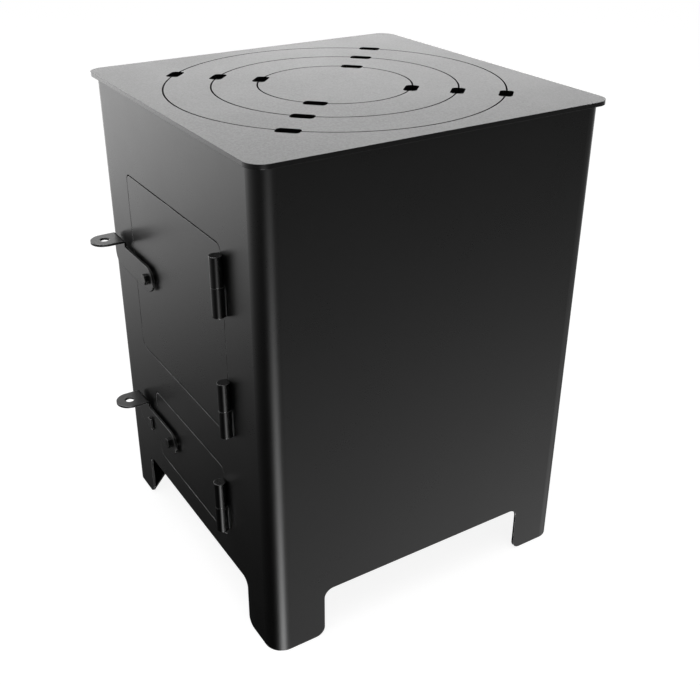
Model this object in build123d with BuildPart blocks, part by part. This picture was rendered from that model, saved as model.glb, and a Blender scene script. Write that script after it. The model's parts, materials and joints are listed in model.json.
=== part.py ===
from build123d import *
import os

os.makedirs("parts", exist_ok=True)

# An outdoor cooking stove of bent and welded steel sheet. Millimetres, +Z up, the front with its
# two doors faces -Y, and the origin is on the ground under the middle of the cooking plate.

# Overall sizes
stove_height = 608.0
plate_side = 450.0
plate_thickness = 5.0
plate_corner_radius = 20.0
plate_overhang = 6.0
sheet = 3.0
bend_radius = 22.0
leg_height = 68.0
front_leg_width = 65.0
side_leg_width = 70.0
leg_corner_radius = 12.0

# Clearances
weld_gap = 0.3
seat_gap = 0.2
running_gap = 0.05
fixed_gap = 0.03

# Cooking rings: the circles along which the plate is cut, the slots for the lifting hook and the
# lugs under the plate that carry each piece
plate_border = 25.0
outer_ring_width = 55.0
middle_ring_width = 54.0
cut_width = 2.0
slot_length = 27.0
slot_width = 16.0
slot_corner_radius = 5.0
slots_per_cut = 4
slot_start_angle = 45.0
lug_width = 30.0
lug_thickness = 4.0
lug_under_inner = 9.0
lug_wall_gap = 3.0
lugs_per_cut = 4

# Door openings in the front wall
upper_opening_width = 266.0
upper_opening_height = 240.0
upper_opening_z = 379.0
lower_opening_width = 210.0
lower_opening_height = 103.0
lower_opening_z = 152.5
opening_corner_radius = 10.0
door_gap = 1.5
stop_overlap_in = 8.0
stop_overlap_out = 14.0

# Lift-off hinges welded to the front
hinge_radius = 7.0
hinge_length = 70.0
hinge_tip_reach = 4.5
hinge_tip_radius = 0.8
hinge_beside_opening = 1.8
hinge_split = 0.4
hinge_pin_radius = 4.0
hinge_pin_length = 50.0
upper_hinge_spacing = 151.0

# Latch arms with a bent finger tab
latch_height = 33.0
latch_reach = 90.0
latch_standoff = 3.0
pivot_from_edge = 54.5
tab_width = 36.0
tab_outer_bend = 4.5
tab_bend_rise = 4.0
tab_hole_from_bend = 18.0
tab_hole_radius = 6.0

# Keeper that holds the lower latch arm
keeper_width = 8.0
keeper_thickness = 3.0
keeper_from_edge = 8.0
keeper_nose_height = 15.0
keeper_nose_gap = 1.0
keeper_bend_radius = 3.5
keeper_tip_radius = 1.2
notch_depth = 6.0
notch_side_gap = 2.0

# Pivot bolts, M8
bolt_radius = 4.0
hex_flats = 12.0
bolt_head_height = 5.0
bolt_head_chamfer = 0.6
bolt_length = 20.0
nut_height = 6.5
spacer_radius = 8.0

# Inside: the loose grates, the bars that carry them and the ash floor
grate_top_z = 232.0
grate_thickness = 6.0
grate_wall_gap = 4.0
grate_end_gap = 14.0
grate_bar_width = 12.0
grate_cross_bar = 20.0
grate_slots = 9
grate_rows = 3
rail_width = 25.0
rail_thickness = 5.0
rail_end_gap = 20.0
ash_floor_rise = 4.0

# Smoke outlet in the back
flue_radius = 57.5
flue_wall = 2.0
flue_length = 43.5
flue_below_top = 125.0
back_panel_inset = 9.0

# Places worked out from the sizes above
half_body = plate_side / 2 - plate_overhang
body_top = stove_height - plate_thickness
inner_bend = bend_radius - sheet
inside_half = half_body - sheet
front_y = -half_body
front_inner_y = front_y + sheet
arch_half_front = half_body - front_leg_width
arch_half_side = half_body - side_leg_width
outer_cut_radius = plate_side / 2 - plate_border
middle_cut_radius = outer_cut_radius - outer_ring_width
disc_cut_radius = middle_cut_radius - middle_ring_width
lug_under_outer = inside_half - lug_wall_gap - outer_cut_radius
lug_plane_z = body_top - seat_gap - lug_thickness
hinge_y = front_y - hinge_radius - weld_gap
half_hinge = (hinge_length - hinge_split) / 2
hinge_bore_depth = hinge_pin_length / 2
arm_back_y = front_y - latch_standoff
arm_front_y = arm_back_y - sheet
arm_end_radius = latch_height / 2
half_tab = tab_width / 2
keeper_back_y = arm_front_y - keeper_nose_gap
keeper_front_y = keeper_back_y - keeper_thickness
grate_width = inside_half - 1.5 * grate_wall_gap
grate_depth = 2 * (inside_half - grate_end_gap)
grate_slot_pitch = (grate_width - grate_bar_width) / grate_slots
grate_row_pitch = (grate_depth - grate_cross_bar) / grate_rows
flue_z = body_top - flue_below_top
back_panel_width = 2 * (arch_half_front - back_panel_inset)


def save(piece, name):
    piece.part.label = name
    export_step(piece.part, f"parts/{name}.step")


def cut_slots(radius):
    # The lifting slots that straddle one ring cut, drawn on the plate.
    with PolarLocations(radius, slots_per_cut, start_angle=slot_start_angle):
        RectangleRounded(slot_width, slot_length, slot_corner_radius, mode=Mode.SUBTRACT)


def arch(plane, half_width):
    # The cut-out between two legs, flared where the feet are rounded.
    r = leg_corner_radius
    with BuildSketch(plane) as outline:
        with BuildLine():
            foot = RadiusArc((-half_width - r, 0), (-half_width, r), -r)
            rise = Line(foot @ 1, (-half_width, leg_height - r))
            knee = RadiusArc(rise @ 1, (-half_width + r, leg_height), r)
            Line(knee @ 1, (0, leg_height))
            mirror(about=Plane.YZ)
            Line((-half_width - r, 0), (half_width + r, 0))
        make_face()
    return outline.sketch


def ring_plate(outer_radius, inner_radius, cuts):
    # One flat piece of the cooking top: a disc or a ring, notched by the slots of its own cuts.
    with BuildSketch(Plane.XY.offset(body_top)) as blank:
        Circle(outer_radius)
        if inner_radius:
            Circle(inner_radius, mode=Mode.SUBTRACT)
        for cut in cuts:
            cut_slots(cut)
    return blank.sketch


def ring_lugs(cut_radius, name):
    # Flat lugs under a cut: welded below the outer side, they carry the inner side.
    with BuildPart() as lugs:
        with BuildSketch(Plane.XY.offset(lug_plane_z)):
            with PolarLocations(cut_radius, lugs_per_cut):
                with Locations(((lug_under_outer - lug_under_inner) / 2, 0)):
                    Rectangle(lug_under_outer + lug_under_inner, lug_width)
        extrude(amount=lug_thickness)
    save(lugs, name)


# The wrap: front wall, both side walls, four bent corners and two short returns at the back
with BuildPart() as body_shell:
    with BuildSketch():
        RectangleRounded(2 * half_body, 2 * half_body, bend_radius)
        RectangleRounded(2 * inside_half, 2 * inside_half, inner_bend, mode=Mode.SUBTRACT)
        with Locations((0, half_body)):
            Rectangle(back_panel_width + 2 * weld_gap, 4 * sheet, mode=Mode.SUBTRACT)
    extrude(amount=body_top - weld_gap)
    extrude(arch(Plane.XZ, arch_half_front), amount=2 * half_body, both=True, mode=Mode.SUBTRACT)
    extrude(arch(Plane.YZ, arch_half_side), amount=2 * half_body, both=True, mode=Mode.SUBTRACT)
    with BuildSketch(Plane.XZ.offset(half_body)):
        with Locations((0, upper_opening_z)):
            RectangleRounded(upper_opening_width, upper_opening_height, opening_corner_radius)
        with Locations((0, lower_opening_z)):
            RectangleRounded(lower_opening_width, lower_opening_height, opening_corner_radius)
    extrude(amount=-2 * sheet, mode=Mode.SUBTRACT)
save(body_shell, "body_shell")

# Flat back panel between the returns, with the hole for the smoke outlet
with BuildPart() as back_panel:
    with BuildSketch(Plane.XZ.offset(-half_body)):
        with Locations((0, (leg_height + body_top - weld_gap) / 2)):
            Rectangle(back_panel_width, body_top - weld_gap - leg_height)
        with Locations((0, flue_z)):
            Circle(flue_radius - flue_wall, mode=Mode.SUBTRACT)
    extrude(amount=sheet)
save(back_panel, "back_panel")

# Cooking plate with the round opening for the rings
with BuildPart() as cooking_plate:
    with BuildSketch(Plane.XY.offset(body_top)):
        RectangleRounded(plate_side, plate_side, plate_corner_radius)
        Circle(outer_cut_radius + cut_width / 2, mode=Mode.SUBTRACT)
        cut_slots(outer_cut_radius)
    extrude(amount=plate_thickness)
save(cooking_plate, "cooking_plate")

# The two lift-out rings and the centre disc
ring_pieces = {
    "outer_ring": (outer_cut_radius, middle_cut_radius),
    "middle_ring": (middle_cut_radius, disc_cut_radius),
    "centre_disc": (disc_cut_radius, 0),
}
for ring_name, (outer_cut, inner_cut) in ring_pieces.items():
    bore = inner_cut + cut_width / 2 if inner_cut else 0
    cuts = [outer_cut, inner_cut] if inner_cut else [outer_cut]
    with BuildPart() as ring:
        extrude(ring_plate(outer_cut - cut_width / 2, bore, cuts), amount=plate_thickness)
    save(ring, ring_name)
ring_lugs(outer_cut_radius, "plate_lugs")
ring_lugs(middle_cut_radius, "outer_ring_lugs")
ring_lugs(disc_cut_radius, "middle_ring_lugs")


def door(name, width, height, middle_z):
    # A flush door of the wall's own sheet, drilled for the latch's pivot bolt.
    with BuildPart() as leaf:
        with BuildSketch(Plane.XZ.offset(-front_inner_y)):
            with Locations((0, middle_z)):
                corner = opening_corner_radius - door_gap
                RectangleRounded(width - 2 * door_gap, height - 2 * door_gap, corner)
            with Locations((pivot_from_edge - width / 2, middle_z)):
                Circle(bolt_radius + fixed_gap, mode=Mode.SUBTRACT)
        extrude(amount=sheet)
    save(leaf, name)


def door_stop(name, width, height, middle_z):
    # The flat frame behind an opening that the door closes against.
    with BuildPart() as frame:
        with BuildSketch(Plane.XZ.offset(-front_inner_y - weld_gap)):
            with Locations((0, middle_z)):
                Rectangle(width + 2 * stop_overlap_out, height + 2 * stop_overlap_out)
                inside = (width - 2 * stop_overlap_in, height - 2 * stop_overlap_in)
                RectangleRounded(*inside, opening_corner_radius, mode=Mode.SUBTRACT)
        extrude(amount=-sheet)
    save(frame, name)


def drop_section(plane, tip_side):
    # The round barrel with its drawn-out welding tip; tip_side is 1 towards +X and -1 towards -X.
    with BuildSketch(plane) as section:
        Circle(hinge_radius)
        with Locations((tip_side * hinge_tip_reach, hinge_radius - hinge_tip_radius)):
            Circle(hinge_tip_radius)
        make_hull()
    return section.sketch


def hinge(name, opening_width, middle_z):
    # One lift-off hinge: the lower half on the wall holds the pin, and the upper half on the door
    # turns on it.
    axis_x = opening_width / 2 + hinge_beside_opening
    axis = Plane(origin=(axis_x, hinge_y, middle_z))
    lower_top = axis.offset(-hinge_split / 2)
    upper_bottom = axis.offset(hinge_split / 2)
    with BuildPart() as lower_half:
        extrude(drop_section(lower_top, 1), amount=-half_hinge)
        with BuildSketch(lower_top):
            Circle(hinge_pin_radius + fixed_gap)
        extrude(amount=-hinge_bore_depth, mode=Mode.SUBTRACT)
    save(lower_half, f"{name}_wall_half")
    with BuildPart() as upper_half:
        extrude(drop_section(upper_bottom, -1), amount=half_hinge)
        with BuildSketch(upper_bottom):
            Circle(hinge_pin_radius + running_gap)
        extrude(amount=hinge_bore_depth, mode=Mode.SUBTRACT)
    save(upper_half, f"{name}_door_half")
    with BuildPart() as pin:
        with BuildSketch(axis):
            Circle(hinge_pin_radius)
        extrude(amount=hinge_pin_length / 2, both=True)
    save(pin, f"{name}_pin")


def latch_arm(name, left_edge, middle_z, notched):
    # A flat arm, round at its pivot, whose far end carries a finger tab bent outwards. A notched
    # arm drops onto the keeper.
    pivot_x = left_edge + pivot_from_edge
    tab_x = pivot_x - latch_reach
    end_x = tab_x - half_tab
    arm_top = middle_z + arm_end_radius
    arm_bottom = middle_z - arm_end_radius
    bend_centre = (arm_back_y - tab_outer_bend, arm_top + tab_bend_rise)
    tab_centre_y = bend_centre[0] - tab_hole_from_bend
    tab_bottom = bend_centre[1] + tab_outer_bend - sheet
    with BuildPart() as arm:
        with BuildSketch(Plane.XZ.offset(-arm_back_y)):
            with BuildLine():
                top = Line((end_x, bend_centre[1]), (tab_x + half_tab, bend_centre[1]))
                step = Line(top @ 1, (tab_x + half_tab, arm_top))
                back = Line(step @ 1, (pivot_x, arm_top))
                nose = TangentArc(back @ 1, (pivot_x, arm_bottom), tangent=(1, 0))
                under = Line(nose @ 1, (end_x + arm_end_radius, arm_bottom))
                heel = RadiusArc(under @ 1, (end_x, arm_bottom + arm_end_radius), arm_end_radius)
                Line(heel @ 1, top @ 0)
            make_face()
            if notched:
                notch_width = keeper_width + 2 * notch_side_gap
                with Locations((left_edge - keeper_from_edge, arm_bottom)):
                    Rectangle(notch_width, 2 * notch_depth, mode=Mode.SUBTRACT)
            with Locations((pivot_x, middle_z)):
                Circle(bolt_radius + running_gap, mode=Mode.SUBTRACT)
        extrude(amount=sheet)
        with BuildSketch(Plane.YZ.offset(tab_x)):
            with BuildLine():
                outside = CenterArc(bend_centre, tab_outer_bend, 0, 90)
                inside = CenterArc(bend_centre, tab_outer_bend - sheet, 0, 90)
                Line(outside @ 0, inside @ 0)
                Line(outside @ 1, inside @ 1)
            make_face()
        extrude(amount=half_tab, both=True)
        with BuildSketch(Plane.XY.offset(tab_bottom)):
            with Locations((tab_x, bend_centre[0] - tab_hole_from_bend / 2)):
                Rectangle(tab_width, tab_hole_from_bend)
            with Locations((tab_x, tab_centre_y)):
                Circle(half_tab)
                Circle(tab_hole_radius, mode=Mode.SUBTRACT)
        extrude(amount=sheet)
    save(arm, f"{name}_latch_arm")


def pivot_bolt(name, left_edge, middle_z):
    # Bolt, spacer and nut that carry a latch arm on its door.
    spot = (left_edge + pivot_from_edge, middle_z)
    head_y = arm_front_y - seat_gap
    with BuildPart() as bolt:
        with BuildSketch(Plane.XZ.offset(-head_y)):
            with Locations(spot):
                RegularPolygon(hex_flats / 2, 6, major_radius=False)
        extrude(amount=bolt_head_height)
        chamfer(bolt.faces().sort_by(Axis.Y)[0].edges(), bolt_head_chamfer)
        with BuildSketch(Plane.XZ.offset(-head_y)):
            with Locations(spot):
                Circle(bolt_radius)
        extrude(amount=-bolt_length)
    save(bolt, f"{name}_pivot_bolt")
    with BuildPart() as spacer:
        with BuildSketch(Plane.XZ.offset(-front_y)):
            with Locations(spot):
                Circle(spacer_radius)
                Circle(bolt_radius + fixed_gap, mode=Mode.SUBTRACT)
        extrude(amount=latch_standoff - seat_gap)
    save(spacer, f"{name}_pivot_spacer")
    with BuildPart() as nut:
        with BuildSketch(Plane.XZ.offset(-front_inner_y - seat_gap)):
            with Locations(spot):
                RegularPolygon(hex_flats / 2, 6, major_radius=False)
                Circle(bolt_radius + fixed_gap, mode=Mode.SUBTRACT)
        extrude(amount=-nut_height)
    save(nut, f"{name}_pivot_nut")


# Each door with its stop frame, latch arm and pivot bolt
doors = {
    "upper": (upper_opening_width, upper_opening_height, upper_opening_z),
    "lower": (lower_opening_width, lower_opening_height, lower_opening_z),
}
for door_name, (opening_width, opening_height, opening_z) in doors.items():
    door(f"{door_name}_door", opening_width, opening_height, opening_z)
    door_stop(f"{door_name}_door_stop", opening_width, opening_height, opening_z)
    latch_arm(door_name, -opening_width / 2, opening_z, notched=door_name == "lower")
    pivot_bolt(door_name, -opening_width / 2, opening_z)

# The keeper, a narrow bar bent to an L: its foot is welded to the wall and carries the lower arm
# in its notch, and its nose stands up in front of the arm
keeper_seat_z = lower_opening_z - arm_end_radius + notch_depth - seat_gap
with BuildPart() as lower_keeper:
    with BuildSketch(Plane.YZ.offset(-lower_opening_width / 2 - keeper_from_edge)):
        with BuildLine():
            Polyline(
                (front_y, keeper_seat_z - keeper_thickness),
                (keeper_front_y, keeper_seat_z - keeper_thickness),
                (keeper_front_y, keeper_seat_z + keeper_nose_height),
                (keeper_back_y, keeper_seat_z + keeper_nose_height),
                (keeper_back_y, keeper_seat_z),
                (front_y, keeper_seat_z),
                close=True,
            )
        make_face()
    extrude(amount=keeper_width / 2, both=True)
    front_edges = lower_keeper.edges().filter_by(Axis.X).group_by(Axis.Y)[0]
    fillet(front_edges.sort_by(Axis.Z)[0], keeper_bend_radius)
    tip = lower_keeper.edges().filter_by(Axis.X).group_by(Axis.Z)[-1]
    fillet(tip, keeper_tip_radius)
save(lower_keeper, "lower_keeper")

hinge("upper_hinge_top", upper_opening_width, upper_opening_z + upper_hinge_spacing / 2)
hinge("upper_hinge_bottom", upper_opening_width, upper_opening_z - upper_hinge_spacing / 2)
hinge("lower_hinge", lower_opening_width, lower_opening_z)

# Flat bars welded inside the front and back walls carry the two loose grates
for rail_name, side in (("front_grate_rail", -1), ("back_grate_rail", 1)):
    with BuildPart() as rail:
        with BuildSketch(Plane.XY.offset(grate_top_z - grate_thickness - seat_gap)):
            with Locations((0, side * (inside_half - rail_width / 2))):
                Rectangle(2 * (inside_half - rail_end_gap), rail_width)
        extrude(amount=-rail_thickness)
    save(rail, rail_name)

# The grates: two equal slotted plates side by side
for grate_name, side in (("left_grate", -1), ("right_grate", 1)):
    with BuildPart() as grate:
        with BuildSketch(Plane.XY.offset(grate_top_z)):
            with Locations((side * (grate_width + grate_wall_gap) / 2, 0)):
                Rectangle(grate_width, grate_depth)
                with GridLocations(grate_slot_pitch, grate_row_pitch, grate_slots, grate_rows):
                    slot_size = (grate_slot_pitch - grate_bar_width, grate_row_pitch - grate_cross_bar)
                    Rectangle(*slot_size, mode=Mode.SUBTRACT)
        extrude(amount=-grate_thickness)
    save(grate, grate_name)

# Floor of the ash chamber, inside the wrap just above the leg cut-outs
with BuildPart() as ash_floor:
    with BuildSketch(Plane.XY.offset(leg_height + ash_floor_rise)):
        floor_side = 2 * (inside_half - weld_gap)
        RectangleRounded(floor_side, floor_side, inner_bend - weld_gap)
    extrude(amount=sheet)
save(ash_floor, "ash_floor")

# Round collar for the smoke pipe, welded onto the back panel
with BuildPart() as flue_collar:
    with BuildSketch(Plane.XZ.offset(-half_body - weld_gap)):
        with Locations((0, flue_z)):
            Circle(flue_radius)
            Circle(flue_radius - flue_wall, mode=Mode.SUBTRACT)
    extrude(amount=weld_gap - flue_length)
save(flue_collar, "flue_collar")
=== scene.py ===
import json
import math

import bpy
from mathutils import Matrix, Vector


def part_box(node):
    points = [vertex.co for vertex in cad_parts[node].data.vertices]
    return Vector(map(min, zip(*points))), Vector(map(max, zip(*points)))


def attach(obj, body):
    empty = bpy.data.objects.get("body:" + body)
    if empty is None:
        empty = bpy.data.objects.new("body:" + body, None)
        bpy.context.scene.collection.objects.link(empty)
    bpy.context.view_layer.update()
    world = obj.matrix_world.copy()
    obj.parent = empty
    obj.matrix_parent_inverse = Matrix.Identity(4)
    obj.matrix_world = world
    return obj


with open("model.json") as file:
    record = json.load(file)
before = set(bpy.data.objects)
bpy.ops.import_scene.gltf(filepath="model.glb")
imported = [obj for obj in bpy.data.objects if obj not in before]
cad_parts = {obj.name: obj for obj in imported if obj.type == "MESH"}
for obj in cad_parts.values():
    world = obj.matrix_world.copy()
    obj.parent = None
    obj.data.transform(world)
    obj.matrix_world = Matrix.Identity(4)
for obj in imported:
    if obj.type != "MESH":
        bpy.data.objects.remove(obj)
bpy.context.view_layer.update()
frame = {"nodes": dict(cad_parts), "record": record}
nodes = frame["nodes"]
scene = bpy.context.scene
scene.view_settings.view_transform = "Standard"

# Sizes read from the frame, in metres
plate_low, plate_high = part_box("cooking_plate")
body_low, body_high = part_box("body_shell")
stove_height = plate_high[2]
plate_side = plate_high[0] - plate_low[0]

# The camera, solved from the photograph: its place in plate widths from the middle of the plate's
# top, its view down and to the side, and the photograph's own pixels
photo_size = (700, 685)
camera_place = (2.191444, -1.341384, 0.621300)
camera_azimuth = math.radians(58.377)
camera_elevation = math.radians(27.678)
focal_pixels = 981.06
picture_middle = (336.90, 329.21)
sensor_width = 36.0
camera_near = 0.05
camera_far = 60.0

# Tones, linear, and colours
paint_tone = 0.004
# The plate's flat top is lightened by this tone, a painted sheen for the light it mirrors
plate_sheen_tone = 0.045
inside_tone = 0.008
# Grey of the rubbed arrises, partly wear and partly a painted highlight along every arris
wear_and_highlight_tone = 0.5
floor_tone = 0.3
pin_color = (0.42, 0.42, 0.43, 1)
studio_color = (0.8, 0.8, 0.8, 1)
white = (1, 1, 1, 1)

# The coating of each material slot, with lengths in metres. The mottle is how far the grain
# changes the tone, and the rub how far the arrises are rubbed to grey metal, which is also a
# painted highlight along them. The top is what a face that lies flat has instead: a painted sheen
# put on the coating's tone, a roughness and a mottle.
coatings = {
    "black_enamel": {
        "tone": paint_tone,
        "roughness": 0.30,
        "grain_size": 0.0012,
        "grain_depth": 0.00001,
        "mottle": 0.15,
        "rounding": 0.001,
        "rub_and_highlight": 1.0,
    },
    "black_plate": {
        "tone": paint_tone,
        "roughness": 0.20,
        "grain_size": 0.0022,
        "grain_depth": 0.0001,
        "mottle": 0.3,
        "rounding": 0.0003,
        "rub_and_highlight": 0.05,
        "top": (plate_sheen_tone, 0.36, 0.8),
    },
    "black_hinge": {
        "tone": paint_tone,
        "roughness": 0.16,
        "grain_size": 0.001,
        "grain_depth": 0.00001,
        "mottle": 0.15,
        "rounding": 0.001,
        "rub_and_highlight": 0.6,
    },
    "black_fastener": {
        "tone": paint_tone,
        "roughness": 0.18,
        "grain_size": 0.0008,
        "grain_depth": 0.00001,
        "mottle": 0.2,
        "rounding": 0.0005,
        "rub_and_highlight": 0.8,
    },
    "black_inside": {
        "tone": inside_tone,
        "roughness": 0.5,
        "grain_size": 0.0015,
        "grain_depth": 0.0001,
        "mottle": 0.3,
        "rounding": 0.001,
        "rub_and_highlight": 0.1,
    },
}
coating_ior = 1.5
rounding_samples = 8

# The patterns in the steel and its coating, as noise: repeats per metre, detail and roughness. The
# grain's repeats follow its size.
cloud_noise = (9.0, 4.0, 0.6)
smear_noise = (45.0, 2.0, 0.5)
turning_noise = (900.0, 2.0, 0.5)
grain_detail = 3.0
grain_roughness = 0.65

# Where each pattern acts, as a range of its noise, and how far it goes
wide_range = (0.3, 0.7)
narrow_range = (0.35, 0.65)
cloud_shade = (0.92, 1.08)
cloud_gloss = 0.02
grain_gloss = 0.02
least_rub_and_highlight = 0.2
pin_gloss = (0.28, 0.42)
turning_depth = 0.00002

# An arris is where the rounded normal leaves the face's own, and a face lies flat where its normal
# points up
arris_range = (0.98, 0.75)
flat_range = (0.6, 0.95)

# Foot plates in the legs' corners, in metres. The wall is the stove's 3 mm sheet and a gap of
# 0.1 mm, the side is what a plate covers of each wall, and the corner is its rounding in the bend.
foot_wall = 0.0031
foot_side = 0.0555
foot_corner = 0.0188
foot_corner_steps = 6
foot_thickness = 0.003
foot_softening = 0.0003
foot_softening_steps = 2

# Weld beads along the hinges' tips, in metres. The ripple is a share of the radius, and the taper
# makes the ends narrow over one twelfth of the length.
bead_radius = 0.0009
bead_sides = 12
bead_step = 0.0007
bead_ripple = 0.04
bead_taper = 12
bead_least = 0.02
bead_beside = 0.0055
bead_inset = 0.0004
bead_end = 0.0008

# The floor: how far it reaches and lies below the stove, in metres, and the studio's light on it
# as a share of white, which its own glow makes up to white
floor_reach = 12.0
floor_drop = 0.0005
floor_light = 0.4

# The studio that the coating mirrors: soft panels all round, each with its compass angle, counted
# from the stove's right side towards its back, and its height, both in degrees, its spread in
# both, and its brightness. Seen from the photograph's camera, they show in this order: in the
# front wall, in the bend at the near corner, low in the right wall, all over the right wall, on
# the arrises that face up and forward, and on the plate. The base is what the coating mirrors
# beside the panels, the fill is the even soft light, and the least level keeps the compass defined
# straight up.
panels = (
    (-158.0, -8.5, 40.0, 9.2, 2.4),
    (-16.5, -80.0, 13.0, 24.0, 18.0),
    (58.0, -44.0, 24.0, 13.0, 1.3),
    (35.0, -25.0, 50.0, 30.0, 0.09),
    (-158.0, 60.0, 40.0, 18.0, 4.0),
    (148.0, 2.0, 26.0, 13.0, 4.35),
)
studio_base = 0.008
studio_fill = 0.45
least_level = 1e-4

# The lamp above the stove, in metres and watts
lamp_place = (0.3, -0.3, 2.8)
lamp_size = (2.4, 2.4)
lamp_power = 35


class Graph:
    """A small helper that adds shader nodes and links them."""

    def __init__(self, tree):
        self.tree = tree
        tree.nodes.clear()

    def add(self, kind, links=None, **settings):
        """A node, with its links by socket and its settings by socket or property."""
        node = self.tree.nodes.new(kind)
        for key, value in settings.items():
            if key in node.inputs:
                node.inputs[key].default_value = value
            else:
                setattr(node, key, value)
        for key, source in (links or {}).items():
            self.tree.links.new(source, node.inputs[key])
        return node

    def math(self, operation, first, second=0.0):
        """Arithmetic on sockets and numbers."""
        node = self.tree.nodes.new("ShaderNodeMath")
        node.operation = operation
        for socket, value in zip(node.inputs, (first, second)):
            if isinstance(value, (int, float)):
                socket.default_value = value
            else:
                self.tree.links.new(value, socket)
        return node.outputs[0]

    def ramp(self, source, span, values):
        """A value that runs between two values while the source crosses its span."""
        node = self.add("ShaderNodeMapRange", {"Value": source})
        node.inputs["From Min"].default_value, node.inputs["From Max"].default_value = span
        node.inputs["To Min"].default_value, node.inputs["To Max"].default_value = values
        return node.outputs["Result"]

    def noise(self, place, scale, detail, roughness):
        """A noise pattern over the object, from 0 to 1."""
        settings = {"Scale": scale, "Detail": detail, "Roughness": roughness}
        return self.add("ShaderNodeTexNoise", {"Vector": place}, **settings).outputs["Fac"]

    def mix(self, share, first, second):
        """The first shader where the share is 0 and the second where it is 1."""
        node = self.add("ShaderNodeMixShader", {"Fac": share, 1: first, 2: second})
        return node.outputs["Shader"]

    def by_ray(self, soft, mirrored, seen):
        """One shader for soft light, one for mirrors and one for the camera."""
        path = self.add("ShaderNodeLightPath")
        unseen = self.mix(path.outputs["Is Glossy Ray"], soft, mirrored)
        return self.mix(path.outputs["Is Camera Ray"], unseen, seen)


def new_material(name):
    material = bpy.data.materials.new(name)
    material.use_nodes = True
    return material, Graph(material.node_tree)


def add_camera():
    data = bpy.data.cameras.new("camera")
    camera = bpy.data.objects.new("camera", data)
    scene.collection.objects.link(camera)
    place = Vector(camera_place) * plate_side
    place.z += stove_height
    camera.location = place
    camera.rotation_euler = (math.pi / 2 - camera_elevation, 0, camera_azimuth)
    data.sensor_width = sensor_width
    data.lens = focal_pixels * sensor_width / photo_size[0]
    data.shift_x = ((photo_size[0] - 1) / 2 - picture_middle[0]) / photo_size[0]
    data.shift_y = (picture_middle[1] - (photo_size[1] - 1) / 2) / photo_size[0]
    data.clip_start = camera_near
    data.clip_end = camera_far
    scene.camera = camera


def mottled(graph, flecks, mottle, tone):
    """A tone that the grain's flecks make lighter and darker."""
    share = graph.math("ADD", graph.math("MULTIPLY", flecks, mottle), 1.0)
    return graph.math("MULTIPLY", share, tone)


def rubbed_and_highlit_arrises(graph, place, face, rounded, rub_and_highlight):
    """How far the coating is rubbed off and the arrises painted with a highlight: 0 on the faces,
    and patchy along the arrises.
    """
    turn = graph.add("ShaderNodeVectorMath", {0: rounded, 1: face}, operation="DOT_PRODUCT")
    arris = graph.ramp(turn.outputs["Value"], arris_range, (0.0, 1.0))
    smear = graph.noise(place, *smear_noise)
    patches = graph.ramp(smear, narrow_range, (least_rub_and_highlight * rub_and_highlight, rub_and_highlight))
    return graph.math("MULTIPLY", arris, patches)


def coated_steel(name, tone, roughness, grain_size, grain_depth, mottle, rounding, rub_and_highlight, top=None):
    """Black heat-proof coating: a fine grain in the bump, cloudy gloss, rubbed arrises that also
    carry a painted highlight, and a painted sheen on faces that lie flat if a top is given.
    """
    material, graph = new_material(name)
    place = graph.add("ShaderNodeTexCoord").outputs["Object"]
    face = graph.add("ShaderNodeNewGeometry").outputs["Normal"]
    bevel = graph.add("ShaderNodeBevel", samples=rounding_samples, Radius=rounding)
    rounded = bevel.outputs["Normal"]
    cloud = graph.noise(place, *cloud_noise)
    grain = graph.noise(place, 1.0 / grain_size, grain_detail, grain_roughness)
    flecks = graph.ramp(grain, narrow_range, (-1.0, 1.0))
    worn_and_highlit = rubbed_and_highlit_arrises(graph, place, face, rounded, rub_and_highlight)

    paint = mottled(graph, flecks, mottle, tone)
    cloudy = graph.ramp(cloud, wide_range, (roughness - cloud_gloss, roughness + cloud_gloss))
    gloss = graph.math("ADD", cloudy, graph.math("MULTIPLY", flecks, grain_gloss))
    # A face that lies flat is lightened where its normal points up: a painted sheen, with the
    # grain's own mottle
    if top:
        top_sheen_tone, top_roughness, top_mottle = top
        upward = graph.add("ShaderNodeSeparateXYZ", {"Vector": face}).outputs["Z"]
        flat = graph.ramp(upward, flat_range, (0.0, 1.0))
        painted_sheen = graph.math("MULTIPLY", mottled(graph, flecks, top_mottle, top_sheen_tone), flat)
        paint = graph.math("ADD", paint, painted_sheen)
        gloss = graph.math("ADD", gloss, graph.math("MULTIPLY", flat, top_roughness - roughness))
    shaded = graph.math("MULTIPLY", paint, graph.ramp(cloud, wide_range, cloud_shade))
    # Arrises turn grey and metallic: partly rubbed coating, partly a painted highlight
    grey = graph.math("ADD", shaded, graph.math("MULTIPLY", worn_and_highlit, wear_and_highlight_tone))
    color = graph.add("ShaderNodeCombineColor", {"Red": grey, "Green": grey, "Blue": grey})

    relief = {"Height": grain, "Normal": rounded}
    bump = graph.add("ShaderNodeBump", relief, Strength=1.0, Distance=grain_depth)
    looks = {
        "Base Color": color.outputs["Color"],
        "Metallic": worn_and_highlit,
        "Roughness": gloss,
        "Normal": bump.outputs["Normal"],
    }
    shader = graph.add("ShaderNodeBsdfPrincipled", looks, IOR=coating_ior)
    graph.add("ShaderNodeOutputMaterial", {"Surface": shader.outputs["BSDF"]})
    return material


def bare_steel(name):
    """Oiled bare steel with fine turning lines."""
    material, graph = new_material(name)
    place = graph.add("ShaderNodeTexCoord").outputs["Object"]
    lines = graph.noise(place, *turning_noise)
    gloss = graph.ramp(lines, wide_range, pin_gloss)
    bump = graph.add("ShaderNodeBump", {"Height": lines}, Distance=turning_depth)
    looks = {"Roughness": gloss, "Normal": bump.outputs["Normal"]}
    shader = graph.add("ShaderNodeBsdfPrincipled", looks, Metallic=1.0)
    shader.inputs["Base Color"].default_value = pin_color
    graph.add("ShaderNodeOutputMaterial", {"Surface": shader.outputs["BSDF"]})
    return material


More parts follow.
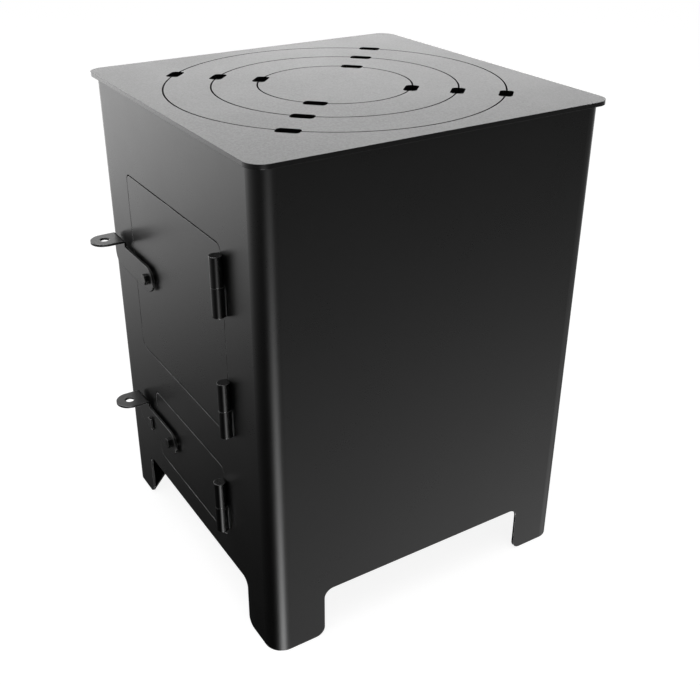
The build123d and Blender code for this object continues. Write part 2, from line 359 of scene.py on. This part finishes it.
def dress_all():
    """Each CAD node wears the finish of its material slot."""
    finishes = {slot: coated_steel(slot, **looks) for slot, looks in coatings.items()}
    finishes["bright_steel"] = bare_steel("bright_steel")
    for entry in frame["record"]["subparts"]:
        mesh = nodes[entry["node"]].data
        mesh.materials.clear()
        mesh.materials.append(finishes[entry["material_slot"]])


def add_mesh(name, points, faces, material):
    mesh = bpy.data.meshes.new(name)
    mesh.from_pydata(points, [], faces)
    mesh.materials.append(material)
    piece = bpy.data.objects.new(name, mesh)
    scene.collection.objects.link(piece)
    return piece


def weld_bead(name, spot, low, high, body, material):
    """A thin rippled weld along a hinge half's tip, which stands on a spot from low to high."""
    rings = round((high - low) / bead_step)
    points = []
    for index in range(rings + 1):
        share = index / rings
        ripple = 1 + bead_ripple * math.cos(math.pi * index)
        rise = bead_taper * min(share, 1 - share)
        reach = bead_radius * ripple * math.sqrt(max(bead_least, min(1.0, rise)))
        for corner in range(bead_sides):
            angle = 2 * math.pi * corner / bead_sides
            x = spot[0] + reach * math.cos(angle)
            y = spot[1] + reach * math.sin(angle)
            points.append((x, y, low + share * (high - low)))
    faces = [tuple(reversed(range(bead_sides)))]
    for base in range(0, rings * bead_sides, bead_sides):
        above = base + bead_sides
        for corner in range(bead_sides):
            near = (corner + 1) % bead_sides
            faces.append((base + corner, base + near, above + near, above + corner))
    faces.append(tuple(range(rings * bead_sides, (rings + 1) * bead_sides)))
    piece = add_mesh(name, points, faces, material)
    piece.data.polygons.foreach_set("use_smooth", [True] * len(faces))
    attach(piece, body)


def weld_hinges(material):
    """Welds hold each lower half to the wall and each upper half to its door."""
    doors = {
        "upper_hinge_top": "upper_door",
        "upper_hinge_bottom": "upper_door",
        "lower_hinge": "lower_door",
    }
    for hinge, door in doors.items():
        for half, body, side in (("wall", "root", 1), ("door", door, -1)):
            low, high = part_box(f"{hinge}_{half}_half")
            spot = ((low[0] + high[0]) / 2 + side * bead_beside, high[1] - bead_inset)
            bottom, top = low[2] + bead_end, high[2] - bead_end
            weld_bead(f"{hinge}_{half}_weld", spot, bottom, top, body, material)


def foot_outline():
    """The corner that a foot plate fills, in the quarter where x and y are positive."""
    inside = body_high[0] - foot_wall
    middle = inside - foot_corner
    outline = [(inside - foot_side, inside)]
    for index in range(foot_corner_steps + 1):
        angle = math.pi / 2 * (1 - index / foot_corner_steps)
        x = middle + foot_corner * math.cos(angle)
        outline.append((x, middle + foot_corner * math.sin(angle)))
    outline.append((inside, inside - foot_side))
    return outline


def add_foot_plates(material):
    """The flat triangular plates that close the corners of the legs at the ground."""
    outline = foot_outline()
    count = len(outline)
    for name, across, along in (
        ("foot_plate_front_left", -1, -1),
        ("foot_plate_front_right", 1, -1),
        ("foot_plate_back_left", -1, 1),
        ("foot_plate_back_right", 1, 1),
    ):
        low = [(across * x, along * y, body_low[2]) for x, y in outline]
        high = [(x, y, z + foot_thickness) for x, y, z in low]
        sides = [(i, (i + 1) % count, count + (i + 1) % count, count + i) for i in range(count)]
        faces = [tuple(reversed(range(count))), tuple(range(count, 2 * count))] + sides
        if across * along > 0:
            faces = [tuple(reversed(face)) for face in faces]
        piece = add_mesh(name, low + high, faces, material)
        softened = piece.modifiers.new("softened", "BEVEL")
        softened.width = foot_softening
        softened.segments = foot_softening_steps
        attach(piece, "root")


def add_floor():
    """A plain floor: white to the camera, pale to soft light, and open to mirrored light."""
    material, graph = new_material("floor")
    tone = (floor_tone, floor_tone, floor_tone, 1)
    matt = graph.add("ShaderNodeBsdfDiffuse", Color=tone).outputs["BSDF"]
    clear = graph.add("ShaderNodeBsdfTransparent").outputs["BSDF"]
    glow = graph.add("ShaderNodeEmission", Color=white, Strength=1.0 - floor_tone * floor_light)
    seen = graph.add("ShaderNodeAddShader", {0: matt, 1: glow.outputs["Emission"]})
    surface = graph.by_ray(matt, clear, seen.outputs["Shader"])
    graph.add("ShaderNodeOutputMaterial", {"Surface": surface})

    quarters = ((-1, -1), (1, -1), (1, 1), (-1, 1))
    corners = [(x * floor_reach, y * floor_reach, 0) for x, y in quarters]
    floor = add_mesh("floor", corners, [(0, 1, 2, 3)], material)
    floor.location.z = -floor_drop


def panel_light(graph, east, north, height, panel):
    """The brightness of one soft panel along a direction, given on the compass and in height."""
    compass, middle, spread_round, spread_up, brightness = panel
    angle = math.radians(compass)
    across = graph.math("MULTIPLY", east, math.cos(angle))
    along = graph.math("MULTIPLY", north, math.sin(angle))
    facing = graph.math("SUBTRACT", graph.math("ADD", across, along), 1.0)
    turned = graph.math("DIVIDE", facing, math.radians(spread_round) ** 2)
    above = graph.math("SUBTRACT", height, math.radians(middle))
    raised = graph.math("DIVIDE", above, math.radians(spread_up))
    fallen = graph.math("MULTIPLY", graph.math("MULTIPLY", raised, raised), -0.5)
    glow = graph.math("EXPONENT", graph.math("ADD", turned, fallen))
    return graph.math("MULTIPLY", glow, brightness)


def add_world():
    """White to the camera, the soft panels to mirrors, and an even fill to soft light."""
    world = bpy.data.worlds.new("world")
    scene.world = world
    world.use_nodes = True
    graph = Graph(world.node_tree)
    way = graph.add("ShaderNodeTexCoord").outputs["Generated"]
    x, y, z = graph.add("ShaderNodeSeparateXYZ", {"Vector": way}).outputs
    height = graph.math("ARCSINE", z)
    squares = graph.math("ADD", graph.math("MULTIPLY", x, x), graph.math("MULTIPLY", y, y))
    level = graph.math("MAXIMUM", graph.math("SQRT", squares), least_level)
    east = graph.math("DIVIDE", x, level)
    north = graph.math("DIVIDE", y, level)
    total = studio_base
    for panel in panels:
        total = graph.math("ADD", panel_light(graph, east, north, height, panel), total)
    fill = graph.add("ShaderNodeBackground", Color=studio_color, Strength=studio_fill)
    mirrored = graph.add("ShaderNodeBackground", {"Strength": total}, Color=studio_color)
    plain = graph.add("ShaderNodeBackground", Color=white, Strength=1.0)
    shaders = [node.outputs["Background"] for node in (fill, mirrored, plain)]
    graph.add("ShaderNodeOutputWorld", {"Surface": graph.by_ray(*shaders)})


def add_lamp():
    """A large soft lamp above the stove, aimed at its middle."""
    data = bpy.data.lights.new("overhead", "AREA")
    data.shape = "RECTANGLE"
    data.size, data.size_y = lamp_size
    data.energy = lamp_power
    lamp = bpy.data.objects.new("overhead", data)
    scene.collection.objects.link(lamp)
    lamp.location = lamp_place
    aim = Vector((0, 0, stove_height / 2)) - Vector(lamp_place)
    lamp.rotation_euler = aim.to_track_quat("-Z", "Y").to_euler()


add_camera()
dress_all()
# The welds and foot plates wear the frame's own plain materials, which hold the slots' names
weld_hinges(bpy.data.materials["black_hinge"])
add_foot_plates(bpy.data.materials["black_enamel"])
add_floor()
add_world()
add_lamp()
